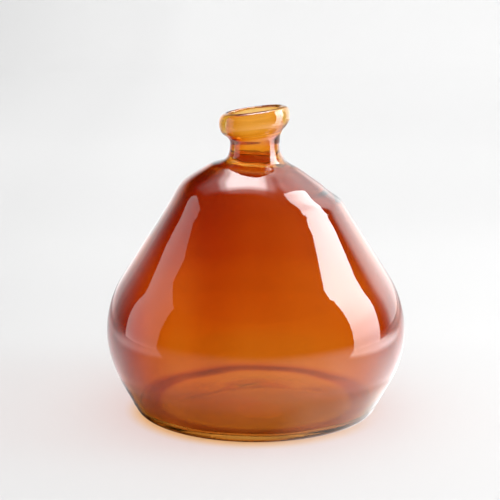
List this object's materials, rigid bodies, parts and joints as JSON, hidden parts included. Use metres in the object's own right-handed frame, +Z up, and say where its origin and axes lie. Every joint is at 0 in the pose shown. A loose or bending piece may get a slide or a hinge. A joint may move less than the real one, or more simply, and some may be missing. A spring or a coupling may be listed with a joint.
{
  "type": "glass bud vase",
  "caption": "Amber glass bud vase with a wide rounded belly, sloping flanks, a short narrow neck and a tilted, cupped lip.",
  "frame": {"origin": "middle of the foot ring, on the surface the vase stands on", "axes": "+Z up through the neck, +X towards the higher side of the tilted collar, +Y to the back"},
  "size_m": [0.2268, 0.2268, 0.2324],
  "materials": {
    "amber_glass": "clear glossy amber glass"
  },
  "bodies": {
    "root": {"glass_vessel": "amber_glass"}
  },
  "joints": []
}
